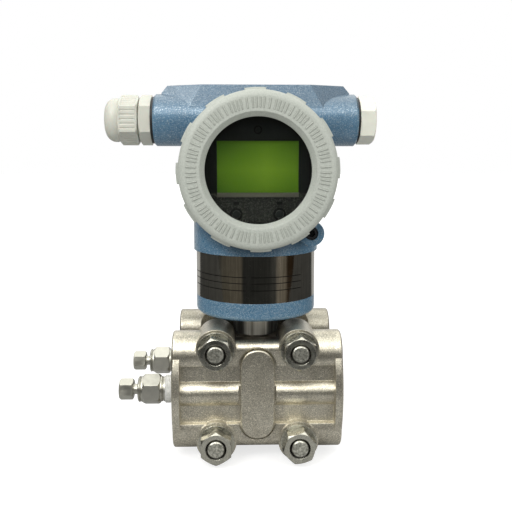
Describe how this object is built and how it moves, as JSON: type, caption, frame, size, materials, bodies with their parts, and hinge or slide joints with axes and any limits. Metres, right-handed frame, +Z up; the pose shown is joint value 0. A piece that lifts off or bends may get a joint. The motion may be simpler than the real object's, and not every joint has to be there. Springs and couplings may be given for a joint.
{
  "type": "differential pressure transmitter",
  "caption": "Differential pressure transmitter: ribbed process flanges clamped over a sensor capsule, swivelling housing with display window, cable gland, plug and vent valves.",
  "frame": {"origin": "centre of the four tapped holes on the process faces, midway between the two process ports", "axes": "+X out of the process faces, +Z up along the neck, -Y out of the display window"},
  "size_m": [0.1606, 0.114, 0.2159],
  "materials": {
    "blue_paint": "metallic paint with fine flake",
    "cover_paint": "light grey powder coat",
    "cast_steel": "bead-blasted stainless casting",
    "bright_steel": "turned stainless, bright",
    "mirror_plate": "polished stainless sheet",
    "nylon": "light grey nylon",
    "black_rubber": "matte",
    "clear_glass": "clear",
    "black_plastic": "matte moulded",
    "black_oxide": "blackened steel",
    "display_green": "backlit liquid crystal",
    "board": "solder resist",
    "potting": "moulded casing",
    "brass": "plated brass",
    "white_tape": "wrapped film",
    "white_gasket": "smooth"
  },
  "bodies": {
    "sensor_module": {"front_flange": "cast_steel", "rear_flange": "cast_steel", "flange_gaskets": "white_gasket", "sensor_capsule": "bright_steel", "clamp_studs": "bright_steel", "front_washers": "bright_steel", "rear_washers": "bright_steel", "front_nuts": "bright_steel", "rear_nuts": "bright_steel", "neck_tube": "bright_steel", "front_vent_body": "bright_steel", "rear_vent_body": "bright_steel", "vent_tapes": "white_tape"},
    "head": {"electronics_housing": "blue_paint", "neck_set_screw": "bright_steel", "cover_lock_screws": "black_oxide", "nameplate": "mirror_plate", "electronics_module": "potting", "module_pillars": "brass", "display_board": "board", "lcd_panel": "display_green", "display_bezel": "black_plastic", "terminal_block": "potting", "terminal_screws": "brass", "gland_washer": "black_rubber", "gland_body": "nylon"},
    "front_seal": {"front_cover_seal": "black_rubber"},
    "front_lid": {"front_cover": "cover_paint", "window_glass": "clear_glass", "glass_retainer": "bright_steel"},
    "rear_seal": {"rear_cover_seal": "black_rubber"},
    "rear_lid": {"rear_cover": "cover_paint"},
    "cable_seal": {"gland_insert": "black_rubber"},
    "cable_nut": {"gland_nut": "nylon"},
    "plug_washer": {"plug_seal": "black_rubber"},
    "plug": {"blanking_plug": "nylon"},
    "front_vent_tip": {"front_vent_ball": "bright_steel"},
    "front_vent": {"front_vent_stem": "bright_steel"},
    "rear_vent_tip": {"rear_vent_ball": "bright_steel"},
    "rear_vent": {"rear_vent_stem": "bright_steel"},
    "left_key": {"left_button": "black_plastic"},
    "right_key": {"right_button": "black_plastic"}
  },
  "joints": [
    {"name": "head_swivel", "type": "hinge", "parent": "sensor_module", "child": "head", "pos_m": [-0.0487, 0, 0.0415], "axis": [0, 0, 1], "range_deg": [-180, 180]},
    {"name": "front_cover_travel", "type": "slide", "parent": "head", "child": "front_seal", "axis": [0, -1, 0], "range_m": [0, 0.009]},
    {"name": "front_cover_turn", "type": "hinge", "parent": "front_seal", "child": "front_lid", "pos_m": [-0.0487, -0.037, 0.128], "axis": [0, -1, 0], "range_deg": [0, 2160]},
    {"name": "rear_cover_travel", "type": "slide", "parent": "head", "child": "rear_seal", "axis": [0, 1, 0], "range_m": [0, 0.009]},
    {"name": "rear_cover_turn", "type": "hinge", "parent": "rear_seal", "child": "rear_lid", "pos_m": [-0.0487, 0.037, 0.128], "axis": [0, 1, 0], "range_deg": [0, 2160]},
    {"name": "cable_nut_travel", "type": "slide", "parent": "head", "child": "cable_seal", "axis": [-1, 0, 0], "range_m": [0, 0.006]},
    {"name": "cable_nut_turn", "type": "hinge", "parent": "cable_seal", "child": "cable_nut", "pos_m": [-0.1177, 0, 0.1572], "axis": [-1, 0, 0], "range_deg": [0, 1440]},
    {"name": "plug_travel", "type": "slide", "parent": "head", "child": "plug_washer", "axis": [1, 0, 0], "range_m": [0, 0.0105]},
    {"name": "plug_turn", "type": "hinge", "parent": "plug_washer", "child": "plug", "pos_m": [0.0123, 0, 0.1572], "axis": [1, 0, 0], "range_deg": [0, 2520]},
    {"name": "front_vent_travel", "type": "slide", "parent": "sensor_module", "child": "front_vent_tip", "axis": [-1, 0, 0], "range_m": [0, 0.003]},
    {"name": "front_vent_turn", "type": "hinge", "parent": "front_vent_tip", "child": "front_vent", "pos_m": [-0.1177, -0.027, 0], "axis": [-1, 0, 0], "range_deg": [0, 1080]},
    {"name": "rear_vent_travel", "type": "slide", "parent": "sensor_module", "child": "rear_vent_tip", "axis": [-1, 0, 0], "range_m": [0, 0.003]},
    {"name": "rear_vent_turn", "type": "hinge", "parent": "rear_vent_tip", "child": "rear_vent", "pos_m": [-0.1177, 0.027, 0], "axis": [-1, 0, 0], "range_deg": [0, 1080]},
    {"name": "left_button_press", "type": "slide", "parent": "head", "child": "left_key", "axis": [0, 1, 0], "range_m": [0, 0.0008], "stiffness_N_per_m": 400, "springref_m": -0.0006},
    {"name": "right_button_press", "type": "slide", "parent": "head", "child": "right_key", "axis": [0, 1, 0], "range_m": [0, 0.0008], "stiffness_N_per_m": 400, "springref_m": -0.0006}
  ],
  "couplings": [
    {"joint": "front_cover_travel", "follows": "front_cover_turn", "m_per_rad": 0.00023873},
    {"joint": "rear_cover_travel", "follows": "rear_cover_turn", "m_per_rad": 0.00023873},
    {"joint": "cable_nut_travel", "follows": "cable_nut_turn", "m_per_rad": 0.00023873},
    {"joint": "plug_travel", "follows": "plug_turn", "m_per_rad": 0.00023873},
    {"joint": "front_vent_travel", "follows": "front_vent_turn", "m_per_rad": 0.00015915},
    {"joint": "rear_vent_travel", "follows": "rear_vent_turn", "m_per_rad": 0.00015915}
  ]
}
